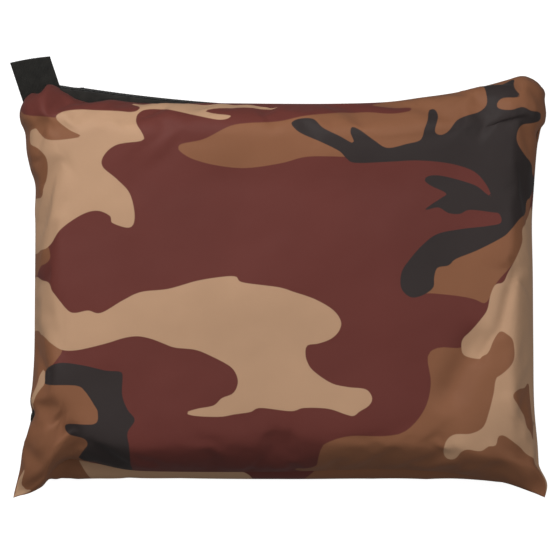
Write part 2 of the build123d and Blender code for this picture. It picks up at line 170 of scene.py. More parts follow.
# Patches as closed outlines, painted over the maroon ground in this order. The last is the tan patch on the back's
# lip, which the front doesn't show.
CAMO = {
    "brown": [
        [(-178, 100), (-152, 100.5), (-140, 99.5), (-133, 99), (-118, 91), (-116, 84), (-136, 80), (-138, 70),
         (-140, 52), (-150, 46), (-178, 44)],
        [(-178, 22), (-149, 23), (-142, 16), (-146, 8), (-178, 0)],
        [(-62, 82), (-46, 86), (-30, 94), (-18, 96), (0, 97), (20, 101), (50, 103), (72, 102), (84, 105),
         (68, 109), (60, 122), (100, 145), (180, 150), (190, 100), (178, 66), (164, 64), (150, 68), (138, 82),
         (118, 84), (92, 82), (68, 77), (52, 74), (40, 75), (18, 75), (2, 71), (-20, 68), (-40, 70), (-56, 75)],
        [(87, -9), (98, -10), (112, -11.5), (122, -13.5), (128.4, -16), (132, -11.5), (136, -3), (144, 6),
         (150, 14), (153, 24), (156, 33), (172, 42), (172, 60), (158, 58), (148, 43), (139, 31), (120, 21.5),
         (104, 13.5), (95, 7), (92, -1.5)],
        [(116, -43), (100, -43.5), (93, -49), (95, -66), (91, -82), (80, -95), (67, -98.5), (45, -98.5),
         (32, -102), (27, -106), (24, -119), (22, -140), (190, -150), (190, -60), (140, -20), (128, -30)],
        [(-178, -28), (-151, -32), (-143, -38), (-135, -43), (-134, -46), (-139, -53), (-142, -58), (-130, -62),
         (-110, -66), (-108, -90), (-116, -110), (-119, -119), (-118, -128), (-122, -150), (-190, -150)],
    ],
    "tan": [
        [(-134, 103), (-124, 104.5), (-112, 104), (-100, 103.6), (-91, 103), (-86, 105), (-87, 109), (-88, 120),
         (-35, 122), (0, 110), (-6, 107), (-30, 106), (-45, 104), (-40, 102), (-29, 100.5), (-36, 98), (-52, 101),
         (-68, 104.5), (-80, 105), (-87, 102), (-88, 96), (-84, 89), (-84.5, 85), (-100, 82.5), (-108, 76),
         (-109, 69), (-100, 61), (-92, 52), (-89, 38), (-92, 31), (-103, 34), (-104, 38), (-112, 41.5),
         (-122, 39), (-135, 30), (-142, 20), (-150, 17), (-178, 17), (-178, 46), (-151, 50), (-146, 56),
         (-143.5, 65), (-144, 74), (-149, 80), (-155, 84), (-155, 90), (-151, 93), (-148.5, 90), (-144, 86),
         (-136, 85.5), (-124, 87), (-123, 88.5), (-130, 92), (-138, 99)],
        [(-178, -2), (-146, -2), (-140, -9), (-131, -20), (-126, -22), (-118, -20.5), (-110, -22), (-96, -14),
         (-85, -9), (-68, -7), (-50, -2), (-34, 0.5), (-26, 0.5), (-22, -3), (0, -6), (10, -9), (23, -13.5),
         (34, -20), (39, -27), (38, -33), (33, -38), (25, -41), (18.5, -42), (17, -46), (18, -52), (22, -58),
         (33, -65.5), (43, -68), (53, -69), (57, -71.5), (58.5, -76), (56, -80), (51, -83), (47, -86),
         (42, -85), (31, -81.5), (16, -81), (8, -83), (-11, -81), (-17, -83.5), (-27, -85), (-36, -86.5),
         (-51, -86), (-57, -84), (-50, -81.5), (-40, -79.5), (-35, -75), (-28, -72), (-25, -66), (-26, -60),
         (-30, -55), (-40, -49.5), (-51, -45), (-64, -43.5), (-71, -41), (-79, -38), (-87, -36.5),
         (-95.5, -37.5), (-107, -41), (-124, -45), (-134, -45), (-141, -41), (-151, -34), (-178, -30)],
        [(153, 32), (152, 22), (148, 12), (143, 3), (140, -3), (135, -4.5), (132, -11), (130, -20), (126, -26),
         (120, -33), (115, -38), (114, -43), (116, -48.5), (126, -50.5), (131, -46), (134, -39), (138, -33.5),
         (142, -35), (146, -39), (146.5, -47), (144, -54), (136, -62), (134, -72), (131, -84), (127.5, -93),
         (120, -97), (110, -97.5), (105, -101), (103, -108), (105, -112.5), (110, -113), (114, -108.5),
         (118, -107), (126, -108), (131, -105), (135.5, -104.5), (137, -99), (141, -98.5), (150, -105),
         (160, -113), (200, -130), (200, 40), (165, 37)],
        [(-146, -57.5), (-144.8, -61), (-145.5, -66.5), (-148, -69.5), (-150.6, -73.5), (-152.5, -78.5),
         (-156, -84), (-160, -82), (-156, -74), (-151.5, -67.5), (-148.5, -61)],
        [(-176, -128), (-160, -120), (-160.5, -128), (-158, -132), (-154, -136), (-160, -145), (-176, -145)],
    ],
    "brown_over": [
        [(141, -36), (145.5, -39), (147, -48), (144.5, -55), (136, -62), (129, -62), (124, -57), (126, -50),
         (132, -46), (136, -38)],
        [(146, -73.5), (149, -70), (153, -69), (170, -68), (170, -100), (157, -96), (153, -86), (149, -79)],
    ],
    "black": [
        [(8.5, 96.5), (14, 98.8), (22, 98.5), (28, 93), (38, 88), (47, 83.5), (45, 90), (46, 93.5), (51, 91.5),
         (60, 85), (68, 80.5), (80, 83), (88.5, 85.5), (91, 92.5), (93, 98), (94, 104), (97.5, 104.5),
         (99.5, 100), (97.5, 91), (101, 88.5), (106, 91), (111, 97.5), (117, 100.5), (125, 103), (129.5, 107),
         (130, 112), (128.6, 119), (128, 126), (146, 132), (147, 119), (150.5, 113.5), (148.5, 112), (139.5, 111.5),
         (136, 107.5), (138, 104.8), (145, 104.2), (152, 106), (157.5, 103.7), (162.5, 103), (164, 100.5),
         (162.5, 97.5), (158, 96), (152, 95), (149, 91), (148.5, 85), (152, 78.5), (158, 71.5), (163, 69),
         (180, 60), (170, 50), (160.5, 48), (158, 42), (151, 37), (145, 30), (139.5, 25), (124, 17), (110.5, 11.5),
         (106, 7.5), (99, 6), (97, 0), (96.5, -6), (91, -10.5), (83.5, -12.5), (78, -9), (76, -4), (77, 4),
         (82, 11.5), (90, 20.5), (99, 27), (113, 30), (130, 32), (138.5, 34), (137.5, 39.5), (133, 40.5),
         (119, 42), (113, 39.5), (106, 40), (99.5, 43.5), (91.5, 41.8), (94, 44.5), (101.5, 49.5), (104.5, 52.3),
         (95, 57), (91, 60.5), (93.5, 63), (100, 63.4), (111, 61), (123, 57), (129.5, 52), (132.5, 50.5),
         (129.5, 57.5), (123, 65), (114, 69), (102, 71.5), (86, 72.7), (68, 71.8), (48, 71.2), (42.5, 74),
         (38, 78.5), (27, 84), (14.5, 89.5), (9.5, 93.5)],
        [(-144, -57), (-139.5, -54), (-132.5, -53), (-120, -54.8), (-107, -57.8), (-98, -58.5), (-96.5, -61.5),
         (-96.8, -73), (-93.5, -82), (-89, -88.5), (-93.5, -96.5), (-92.5, -105.5), (-92, -116), (-92, -140),
         (-106, -140), (-113, -130), (-120, -121.5), (-124.4, -113.5), (-121, -107.5), (-118.5, -104),
         (-120.5, -100.3), (-129.5, -97.7), (-132.5, -93.5), (-130.3, -91), (-114, -91),
         (-112, -84), (-114, -79.7), (-120, -70.7), (-125.7, -67.2), (-143.5, -66.7), (-145, -64), (-145, -60)],
    ],
    "lip": [
        [(-125, -112), (-118, -110), (-92, -112), (-60, -118), (-28, -120), (-16, -126), (-20, -136), (-60, -140),
         (-112, -140), (-116, -128), (-120, -122.5)],
    ],
}  # fmt: skip


def signed_distance(points, outline):
    """Distance to a closed outline, positive inside it and at most 8 either way."""
    ring = curve(outline, 8 * len(outline), closed=True)
    a, b = ring, np.roll(ring, -1, axis=0)
    near = np.flatnonzero(((points > ring.min(0) - 8) & (points < ring.max(0) + 8)).all(axis=1))
    result = np.full(len(points), -8.0)
    for rows in np.array_split(near, len(near) // 4000 + 1):
        p = points[rows][:, None, :]
        ab, ap = (b - a)[None], p - a[None]
        share = np.clip((ap * ab).sum(-1) / np.maximum((ab * ab).sum(-1), 1e-9), 0, 1)
        distance = np.linalg.norm(ap - share[..., None] * ab, axis=-1).min(1)
        spans = (a[None, :, 1] > p[..., 1]) != (b[None, :, 1] > p[..., 1])
        cross = a[None, :, 0] + ap[..., 1] * ab[..., 0] / np.where(ab[..., 1] == 0, 1e-9, ab[..., 1])
        inside = (spans & (p[..., 0] < cross)).sum(1) % 2 == 1
        result[rows] = np.where(inside, distance, -distance)
    return np.clip(result, -8, 8)


def print_depths(points):
    """How far inside each colour's patches each point lies."""
    return {ink: np.max([signed_distance(points, o) for o in outlines], axis=0) for ink, outlines in CAMO.items()}


def print_camo(obj, depths):
    """Stores the print on both faces of a slab, for the nylon's material."""
    for ink, depth in depths.items():
        values = np.concatenate([depth.ravel()] * 2).astype(np.float32)
        obj.data.attributes.new("camo_" + ink, "FLOAT", "POINT").data.foreach_set("value", values)


# ---------------------------------------------------------------- materials


def material(name, roughness, metallic=0.0, sheen=0.0, specular=0.5):
    """A node material with its shader. Returns the material, its node tree and the shader."""
    m = bpy.data.materials.new(name)
    m.use_nodes = True
    tree = m.node_tree
    shader = tree.nodes["Principled BSDF"]
    shader.inputs["Roughness"].default_value = roughness
    shader.inputs["Metallic"].default_value = metallic
    shader.inputs["Sheen Weight"].default_value = sheen
    shader.inputs["Specular IOR Level"].default_value = specular
    return m, tree, shader


def node(tree, kind, settings=None, **inputs):
    """A shader node with settings, its inputs set to values or joined to other nodes' outputs."""
    n = tree.nodes.new(kind)
    for key, value in (settings or {}).items():
        setattr(n, key, value)
    for key, value in inputs.items():
        socket = n.inputs[int(key[1:])] if key[0] == "i" and key[1:].isdigit() else n.inputs[key]
        if isinstance(value, bpy.types.NodeSocket):
            tree.links.new(value, socket)
        else:
            socket.default_value = value
    return n


def maths(tree, operation, a, b):
    return node(tree, "ShaderNodeMath", {"operation": operation}, i0=a, i1=b).outputs[0]


def mix_colour(tree, share, a, b, blend="MIX"):
    return node(tree, "ShaderNodeMix", {"data_type": "RGBA", "blend_type": blend}, i0=share, i6=a, i7=b).outputs[2]


def spread(tree, value, low, high, new_low=0.0, new_high=1.0):
    """A value taken from one range to another."""
    return node(tree, "ShaderNodeMapRange", None, i0=value, i1=low, i2=high, i3=new_low, i4=new_high).outputs[0]


def place(tree):
    """The rest position on the object."""
    return node(tree, "ShaderNodeTexCoord").outputs["Object"]


def noise(tree, scale, detail=3.0, rough=0.5):
    return node(tree, "ShaderNodeTexNoise", None, Vector=place(tree), Scale=scale, Detail=detail,
                Roughness=rough).outputs["Fac"]


def weave(tree, pitch):
    """Height of a plain weave: two sets of threads at right angles."""
    threads = [
        node(tree, "ShaderNodeTexWave", {"bands_direction": axis, "wave_profile": "SIN"},
             Vector=place(tree), Scale=0.314 / pitch, Distortion=0.0).outputs["Fac"]
        for axis in "XY"
    ]
    return maths(tree, "MULTIPLY", *threads)


def base_colour(tree, shader, colour, tone):
    """Gives the shader a colour that a tone makes lighter or darker."""
    grey = node(tree, "ShaderNodeCombineColor", None, Red=tone, Green=tone, Blue=tone).outputs[0]
    tree.links.new(mix_colour(tree, 1.0, colour, grey, "MULTIPLY"), shader.inputs["Base Color"])


def bump(tree, shader, height, strength, distance):
    n = node(tree, "ShaderNodeBump", None, Height=height, Strength=strength, Distance=distance)
    tree.links.new(n.outputs["Normal"], shader.inputs["Normal"])


def linear(r, g, b):
    """An sRGB colour of 0 to 255 as the linear colour that nodes take."""
    shares = (r / 255, g / 255, b / 255)
    return tuple(c / 12.92 if c < 0.04045 else ((c + 0.055) / 1.055) ** 2.4 for c in shares) + (1,)


INKS = {
    "ground": linear(101, 51, 45), "brown": linear(134, 89, 63),
    "tan": linear(183, 146, 116), "brown_over": linear(134, 89, 63), "black": linear(52, 45, 44),
    "lip": linear(183, 146, 116),
}


def camo_nylon():
    """Printed nylon: each colour's patches over the ground, a little uneven, on a fine weave."""
    m, tree, shader = material("camo_nylon", 0.55, sheen=0.03, specular=0.13)
    shader.inputs["Sheen Roughness"].default_value = 0.4
    colour = INKS["ground"]
    for ink in CAMO:
        depth = node(tree, "ShaderNodeAttribute", {"attribute_name": "camo_" + ink}).outputs["Fac"]
        colour = mix_colour(tree, spread(tree, depth, -0.22, 0.22), colour, INKS[ink])
    cloudy = spread(tree, noise(tree, 14.0, 4.0), 0.3, 0.7, 0.93, 1.05)
    threads = spread(tree, weave(tree, 0.00045), 0.0, 1.0, 0.95, 1.03)
    base_colour(tree, shader, colour, maths(tree, "MULTIPLY", cloudy, threads))
    fine = maths(tree, "MULTIPLY", weave(tree, 0.00045), 0.25)
    bump(tree, shader, maths(tree, "ADD", fine, noise(tree, 90.0)), 0.35, 0.0004)
    return m


def woven(name, colour, pitch, strength=0.6):
    """Black tape or webbing: threads, and fuzz that varies in tone."""
    m, tree, shader = material(name, 0.8, sheen=0.12, specular=0.2)
    base_colour(tree, shader, linear(*colour), spread(tree, noise(tree, 260.0, 4.0), 0.3, 0.7, 0.75, 1.3))
    bump(tree, shader, weave(tree, pitch), strength, 0.0003)
    return m


def nylon_coil():
    m, tree, shader = material("zip_coil", 0.42, specular=0.5)
    base_colour(tree, shader, linear(27, 26, 24), spread(tree, noise(tree, 300.0, 2.0), 0.0, 1.0, 0.8, 1.2))
    bump(tree, shader, noise(tree, 900.0, 2.0), 0.2, 0.0001)
    return m


def painted_metal():
    m, tree, shader = material("zip_metal", 0.38, metallic=0.35)
    wear = spread(tree, noise(tree, 420.0, 5.0, 0.7), 0.55, 0.72)
    tree.links.new(mix_colour(tree, wear, linear(38, 37, 36), linear(88, 86, 82)), shader.inputs["Base Color"])
    bump(tree, shader, noise(tree, 700.0, 3.0), 0.25, 0.0001)
    return m


def foil_lining():
    m, tree, shader = material("foil_lining", 0.34, metallic=0.35)
    base_colour(tree, shader, linear(214, 217, 220), spread(tree, noise(tree, 30.0, 4.0), 0.0, 1.0, 0.85, 1.0))
    crease = node(tree, "ShaderNodeTexVoronoi", {"feature": "DISTANCE_TO_EDGE"}, Vector=place(tree), Scale=95.0)
    both = maths(tree, "ADD", crease.outputs["Distance"], noise(tree, 160.0, 4.0))
    bump(tree, shader, both, 0.5, 0.0006)
    return m


def cell_foam():
    m, tree, shader = material("cell_foam", 0.9, specular=0.2)
    cells = node(tree, "ShaderNodeTexVoronoi", None, Vector=place(tree), Scale=900.0).outputs["Distance"]
    base_colour(tree, shader, linear(232, 234, 236), spread(tree, cells, 0.0, 1.0, 1.0, 0.8))
    bump(tree, shader, cells, 0.5, 0.0005)
    return m


MATERIALS = {
    "camo_nylon": camo_nylon(),
    "foam": cell_foam(),
    "lining": foil_lining(),
    "binding": woven("binding_tape", (40, 39, 36), 0.0006),
    "zip_tape": woven("zip_tape", (34, 32, 29), 0.0005),
    "zip_coil": nylon_coil(),
    "zip_metal": painted_metal(),
    "webbing": woven("webbing", (27, 26, 23), 0.0008, strength=0.8),
    "thread": woven("thread", (52, 50, 47), 0.0003),
}


# ---------------------------------------------------------------- structured grids of points


def refine(grid):
    """The grid with twice as many cells each way, on a smooth surface through its points."""
    for axis in (0, 1):
        g = np.moveaxis(grid, axis, 0)
        ends = np.concatenate([2 * g[:1] - g[1:2], g, 2 * g[-1:] - g[-2:-1]])
        fine = np.empty((2 * len(g) - 1,) + g.shape[1:])
        fine[::2] = g
        fine[1::2] = (9 * (ends[1:-2] + ends[2:-1]) - ends[:-3] - ends[3:]) / 16
        grid = np.moveaxis(fine, 0, axis)
    return grid


def relax(grid, rounds):
    """The grid with its inside smoothed and its rim kept."""
    g = grid.copy()
    for _ in range(rounds):
        around = g[:-2, 1:-1] + g[2:, 1:-1] + g[1:-1, :-2] + g[1:-1, 2:]
        g[1:-1, 1:-1] = 0.4 * g[1:-1, 1:-1] + 0.15 * around
    return g


def normals(grid):
    """Unit normals of a grid, up where its rows run towards +Y and its columns towards +X."""
    n = np.cross(np.gradient(grid, axis=1), np.gradient(grid, axis=0))
    return n / np.maximum(np.linalg.norm(n, axis=-1, keepdims=True), 1e-9)


def grid_quads(rows, cols):
    """The faces of a grid of points, facing the way that its normals point."""
    i = np.arange(rows * cols).reshape(rows, cols)
    return np.stack([i[:-1, :-1], i[:-1, 1:], i[1:, 1:], i[1:, :-1]], axis=-1).reshape(-1, 4)


def slab(name, top, bottom, slot, sharp=50):
    """A closed piece between two grids of points in mm, its top being the side that its normals point out of."""
    rows, cols = top.shape[:2]
    index = np.arange(rows * cols).reshape(rows, cols)
    quads = grid_quads(rows, cols)
    rim = np.concatenate([index[0, :-1], index[:-1, -1], index[-1, :0:-1], index[:0:-1, 0]])
    after, under = np.roll(rim, -1), rows * cols
    wall = np.stack([rim, rim + under, after + under, after], axis=-1)
    faces = np.concatenate([quads, quads[:, ::-1] + under, wall])
    points = np.concatenate([top.reshape(-1, 3), bottom.reshape(-1, 3)])
    mesh = bpy.data.meshes.new(name)
    mesh.from_pydata((points * MM).tolist(), [], faces.tolist())
    mesh.shade_smooth()
    mesh.set_sharp_from_angle(angle=math.radians(sharp))
    return dress(mesh, slot)


def dress(mesh, slot):
    """An object of the mesh, in the material of one of the record's slots."""
    obj = bpy.data.objects.new(mesh.name, mesh)
    bpy.context.scene.collection.objects.link(obj)
    mesh.materials.append(MATERIALS[slot])
    return obj


def piece(obj, body, replaced):
    """Hides the CAD parts that an object replaces. If body is a body's name, the object is hung on that body's empty;
    if it is a name and two points, these are not read, and the object's transform is baked into its mesh."""
    if isinstance(body, str):
        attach(obj, body)
    else:
        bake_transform(obj)
    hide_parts(*replaced)
    return obj


def opening(start):
    """The mouth's lift: none up to x = start, all of it in the middle."""
    return "front", (start * MM, 0, SEAM * MM), (OPEN_MIDDLE * MM, 0, SEAM * MM)


# ---------------------------------------------------------------- panels

# How far a wall must be pushed out for it to reach a given distance past its edge
LIP_REACH, LIP_PUSH = (0, 0.8, 2, 6, 12.2, 17), (0, 3, 5, 10, 17, 22)


def steps(length, roll_a, roll_b, spacing):
    """Stations across a panel: distance in from the near edge, and how far each edge's roll has risen."""
    near, far = (np.linspace(0, math.pi / 2, max(8, int(1.45 * roll / spacing))) for roll in (roll_a, roll_b))
    middle = np.linspace(roll_a, length - roll_b, int((length - roll_a - roll_b) / spacing))[1:-1]
    inward = np.concatenate([roll_a * (1 - np.cos(near)), middle, length - roll_b * (1 - np.cos(far[::-1]))])
    rise_a = np.concatenate([near, np.full(len(middle) + len(far), math.pi / 2)])
    rise_b = np.concatenate([np.full(len(middle) + len(near), math.pi / 2), far[::-1]])
    return inward, rise_a, rise_b


def flat_lip(share):
    """A panel's edge without a lip."""
    return 0 * share


def run_on(angle):
    """How far a print runs on, in mm, at each point of an edge's roll: all the way at its foot, not at all on top."""
    return PRINT_STRETCH * (1 - smooth(np.sin(angle) / 0.5))


def panel(edges, edge_z, depth, rolls, spacing, bulge=(0, 0, flat_lip)):
    """A puffed panel on four edges: its grid of points in mm, how far each point has risen off the edge, 0 to 1,
    how far it is from the nearest edge, and how far a print on the steep sides is stretched out, in mm.
    rolls go left, right, bottom, top. bulge is how far the walls swell out past the seam on the left and right,
    and along the bottom as a function of the share across. depth is how far the panel stands above its edge."""
    wide, tall = 315.0, 240.0
    across, rise_l, rise_r = steps(wide, rolls[0], rolls[1], spacing)
    up, rise_b, rise_t = steps(tall, rolls[2], rolls[3], spacing)
    lift_x = (np.sin(rise_l) * np.sin(rise_r))[None, :]
    lift_y = (np.sin(rise_b) * np.sin(rise_t))[:, None]
    push_x = bulge[0] * np.sin(2 * rise_l) - bulge[1] * np.sin(2 * rise_r)
    lip = np.interp(bulge[2](across / wide), LIP_REACH, LIP_PUSH)
    s = (across[None, :] - push_x[None, :] * lift_y) / wide
    t = (up[:, None] - np.sin(2 * rise_b)[:, None] * lip * lift_x) / tall
    S, T = s[..., None], t[..., None]
    bottom, top, left, right = (at(edges[e], v) for e, v in (("bottom", s), ("top", s), ("left", t), ("right", t)))
    corners = edges["bottom"][0], edges["bottom"][-1], edges["top"][0], edges["top"][-1]
    flat = (1 - T) * bottom + T * top + (1 - S) * left + S * right
    flat -= (1 - T) * ((1 - S) * corners[0] + S * corners[1]) + T * ((1 - S) * corners[2] + S * corners[3])
    rise = lift_x * lift_y
    for x0 in (0, wide):
        away = np.clip(np.hypot(across[None, :] - x0, up[:, None]) / EAR_LENGTH, 0, 1)
        rise = rise * (EAR_FLATNESS + (1 - EAR_FLATNESS) * np.sin(math.pi / 2 * away))
    z = edge_z(s, t) + depth * rise
    inside = np.minimum(np.minimum(across, wide - across)[None, :], np.minimum(up, tall - up)[:, None])
    stretch_x = (run_on(rise_r) - run_on(rise_l))[None, :] + 0 * t
    stretch_y = (run_on(rise_t) - run_on(rise_b))[:, None] + 0 * s
    return np.dstack([flat, z]), rise, inside, np.dstack([stretch_x, stretch_y])


def inflate(grid, frames, pressure, slack, bend, cap):
    """Cloth simulation: the fabric puffs against its pinned seams and puckers along them. No point moves
    further than cap."""
    rows, cols = grid.shape[:2]
    index = np.arange(rows * cols).reshape(rows, cols)
    mesh = bpy.data.meshes.new("cloth")
    mesh.from_pydata((grid.reshape(-1, 3) * MM).tolist(), [], grid_quads(rows, cols).tolist())
    obj = bpy.data.objects.new("cloth", mesh)
    bpy.context.scene.collection.objects.link(obj)
    rim = np.concatenate([index[0], index[-1], index[:, 0], index[:, -1]])
    obj.vertex_groups.new(name="seam").add([int(i) for i in rim], 1.0, "REPLACE")
    cloth = obj.modifiers.new("cloth", "CLOTH")
    c = cloth.settings
    c.quality = 6
    c.mass = 0.12
    c.tension_stiffness = c.compression_stiffness = 14
    c.shear_stiffness = 6
    c.bending_stiffness = bend
    c.air_damping = 2
    c.use_pressure = True
    c.uniform_pressure_force = pressure
    c.shrink_min = c.shrink_max = -slack
    c.vertex_group_mass = "seam"
    c.effector_weights.gravity = 0
    cloth.collision_settings.use_collision = False
    cloth.point_cache.frame_start = 1
    cloth.point_cache.frame_end = frames
    for f in range(1, frames + 1):
        bpy.context.scene.frame_set(f)
    shown = obj.evaluated_get(bpy.context.evaluated_depsgraph_get())
    puffed = np.zeros(rows * cols * 3)
    shown.data.vertices.foreach_get("co", puffed)
    bpy.context.scene.frame_set(1)
    bpy.data.objects.remove(obj)
    move = puffed.reshape(rows, cols, 3) / MM - grid
    far = np.linalg.norm(move, axis=-1, keepdims=True)
    return grid + move * cap * np.tanh(far / cap) / np.maximum(far, 1e-6)


def fold(grid, start, end, height, width):
    """Height of one soft fold at each point of a grid."""
    a, b = np.array(start, float), np.array(end, float)
    along = b - a
    share = ((grid[..., :2] - a) @ along) / (along @ along)
    off = np.linalg.norm(grid[..., :2] - a - np.clip(share, 0, 1)[..., None] * along, axis=-1)
    ends = smooth((share + 0.25) / 0.5) * smooth((1.25 - share) / 0.5)
    return height * np.exp(-((off / width) ** 2)) * ends


def ripples(grid, seed, count, lengths, size):
    """Gentle unevenness: a sum of seeded waves over the panel."""
    rng = np.random.default_rng(seed)
    total = np.zeros(grid.shape[:2])
    for _ in range(count):
        angle, phase = rng.uniform(0, math.pi), rng.uniform(0, 2 * math.pi)
        k = 2 * math.pi / rng.uniform(*lengths)
        total += np.cos(grid[..., 0] * k * math.cos(angle) + grid[..., 1] * k * math.sin(angle) + phase)
    return total * size / math.sqrt(count)


def turned_in(grid, side):
    """The grid with its zip edge turned in under itself. side is 1 on the front, -1 on the back."""
    edge = grid[-1:]
    rows = [edge + np.array([0, -dy, -side * dz]) for dy, dz in ((0.3, 0.25), (0.9, 0.42), (1.8, 0.45), (3.0, 0.4))]
    return np.concatenate([grid] + rows)


def corners_rounded(grid, reach):
    """The grid drawn in to a round corner at either end of its first row, clear of the flat ears, reach cells in."""
    rows, cols = grid.shape[:2]
    i, j = np.indices((rows, cols)).astype(float)
    i_gap, j_gap = np.clip(reach - i, 0, None), np.clip(reach - np.minimum(j, cols - 1 - j), 0, None)
    both = (i_gap > 0) & (j_gap > 0)
    shrink = np.where(both, np.maximum(i_gap, j_gap) / np.maximum(np.hypot(i_gap, j_gap), 1e-9), 1)
    i += i_gap * (1 - shrink)
    j += j_gap * (1 - shrink) * np.where(j < cols / 2, 1, -1)
    i0, j0 = np.clip(i.astype(int), 0, rows - 2), np.clip(j.astype(int), 0, cols - 2)
    u, v = (i - i0)[..., None], (j - j0)[..., None]
    near, far = (grid[k, j0] * (1 - v) + grid[k, j0 + 1] * v for k in (i0, i0 + 1))
    return near * (1 - u) + far * u


def kept_under(grid, tree, side, gap):
    """The grid with every point at least gap mm inside the fabric, whose surface the tree holds."""
    points = grid.reshape(-1, 3).copy()
    for _ in range(2):
        for k, p in enumerate(points):
            near, normal, _, _ = tree.find_nearest(p)
            if (near - Vector(p)).dot(normal) * side < gap:
                points[k] = near - normal * side * gap
    return points.reshape(grid.shape)


def layers(skin, inside, side):
    """The surfaces under a half's fabric, from the outside in: both faces of the foam, then of the lining.
    side is 1 on the front, -1 on the back. They draw together towards the seams."""
    tree = BVHTree.FromPolygons(skin.reshape(-1, 3).tolist(), grid_quads(*skin.shape[:2]).tolist())
    base = corners_rounded(np.dstack([relax(skin, 8), inside]), CORNER_CELLS)
    share = smooth(base[..., 3:] / FOAM_TAPER)
    base = base[..., :3]
    out = normals(base) * side
    found = []
    for least, most in LAYER_DEPTHS:
        g = base - out * (least + (most - least) * share)
        limit = SEAM + side * (0.55 + 0.15 * (3 - len(found)))
        g[..., 2] = np.maximum(g[..., 2], limit) if side > 0 else np.minimum(g[..., 2], limit)
        found.append(kept_under(g, tree, side, least))
    return found


def flip(grid):
    """The same grid with its columns reversed, so that its normals turn over."""
    return grid[:, ::-1]


# ---------------------------------------------------------------- front half, in a left and a right part cut where the mouth opens widest


def corner_tuck(s, t):
    """1 at the top left corner, where the webbing tab leaves the seam."""
    return (1 - smooth((s - 0.075) / 0.05)) * smooth((t - 0.93) / 0.06)


def zip_gap(s, t):
    """1 along the zip, where the two halves' edges stand off the seam."""
    return smooth((s - 0.07) / 0.045) * smooth((0.99 - s) / 0.08) * smooth((t - 0.75) / 0.25)


def front_edge_z(s, t):
    return SEAM + 0.06 + ZIP_SPREAD * zip_gap(s, t) - WEBBING_TUCK * corner_tuck(s, t)


def back_edge_z(s, t):
    return SEAM - 0.06 - ZIP_SPREAD * np.maximum(zip_gap(s, t), corner_tuck(s, t))


# Soft folds in the front: from, to, height and half width, in mm
FOLDS = [
    ((-150, -32), (-144, -60), -3.0, 3.5), ((-144, -60), (-154, -84), -2.4, 3.5),
    ((-138, -50), (-134, -84), 1.2, 7.0), ((-140, -84), (-162, -134), 2.6, 4.5),
    ((-122, -104), (-160, -135), -3.6, 4.0), ((-112, -104), (-138, -117), 2.2, 4.0),
    ((-150, -88), (-158, -116), -1.8, 3.0), ((146, 2), (137, -36), -3.4, 3.6), ((152, 6), (149, -50), 1.6, 4.0),
    ((125, -36), (104, -78), -7.0, 10.0), ((134, -34), (123, -54), -1.5, 2.4), ((143, -48), (147, -84), 1.8, 5.0),
    ((112, -112), (163, -132), -2.4, 4.5), ((132, -104), (164, -124), 1.6, 5.0),
    ((-138, 119), (-126, 98), -2.4, 4.0), ((-146, 116), (-143, 98), 1.6, 3.5), ((-152, 112), (-150, 90), -1.4, 3.0),
    ((-118, 108), (-112, 92), 1.0, 5.0), ((150, 104), (157, 84), -2.0, 3.0), ((143, 112), (153, 92), 1.6, 4.0),
    ((160, 112), (163, 92), 1.2, 2.4), ((124, 112), (112, 100), -1.0, 4.5), ((156, 84), (158, 40), -1.0, 3.0),
    ((-60, 20), (-56, -60), 0.8, 16.0), ((6, 60), (2, -40), 0.7, 14.0), ((72, 40), (76, -60), 0.8, 15.0),
    ((-104, 60), (-100, -20), 0.7, 12.0), ((-30, 70), (-26, 10), -0.6, 12.0), ((40, 70), (36, -90), -0.6, 13.0),
]

# Where the outline is drawn in after the cloth has puffed: place, move and reach, in mm
PINCHES = [((-149.5, 118.5), (0.5, -2.8), 3.0), ((-154.5, -86), (1.2, 0), 5.0), ((164.5, 90), (-1.4, -0.4), 4.5)]

SIDE_HEIGHT = 12    # the front keeps its puffed shape up to here over the seam, and is fitted to the crown above it

skin, rise, inside, stretch = panel(FRONT, front_edge_z, CROWN - SEAM - 4.5, (19, 17, 19, 24), 2.7)
skin[..., 2] += rise * (5.0 * np.exp(-((skin[..., 0] / 120) ** 2) - (skin[..., 1] / 85) ** 2) - 1.0)
skin = relax(inflate(skin, frames=22, pressure=3.0, slack=0.035, bend=0.6, cap=6.0), 1)
for where, move, size in PINCHES:
    near = np.exp(-(((skin[..., :2] - where) ** 2).sum(axis=-1) / size**2))
    skin[..., :2] += near[..., None] * np.array(move)
loose = smooth(inside / 6)
for f in FOLDS:
    skin[..., 2] += fold(skin, *f) * np.maximum(rise, 0.25) * loose
long_waves = ripples(skin, seed=7, count=9, lengths=(38, 95), size=0.5)
short_waves = ripples(skin, seed=19, count=12, lengths=(15, 34), size=0.09)
skin[..., 2] += (long_waves + short_waves) * rise
above = skin[..., 2] - SEAM - SIDE_HEIGHT
fitted = SEAM + SIDE_HEIGHT + above * (CROWN - SEAM - SIDE_HEIGHT) / above.max()
skin[..., 2] = np.where(above > 0, fitted, skin[..., 2])
foam_out, foam_in, lining_out, lining_in = layers(skin, inside, 1)

fine = turned_in(refine(skin), 1)
print_at = refine(np.dstack([skin[..., :2] + stretch, skin[..., 2:]]))[..., :2]
print_at = np.concatenate([print_at] + [print_at[-1:]] * (len(fine) - len(print_at)))
depths = print_depths(print_at.reshape(-1, 2))
depths = {ink: d.reshape(fine.shape[:2]) for ink, d in depths.items()}
depths["lip"] = np.full(fine.shape[:2], -8.0)
fabric_in = fine - normals(fine) * FABRIC
HALVES = (("left", OPEN_LEFT), ("right", OPEN_RIGHT))


def half(grid, side):
    """Where in a grid of the front its left or right part is, cut where the mouth opens widest."""
    cut = int(np.argmin(abs(grid[..., 0].mean(axis=0) - OPEN_MIDDLE)))
    return slice(None), slice(0, cut + 1) if side == "left" else slice(cut, None)


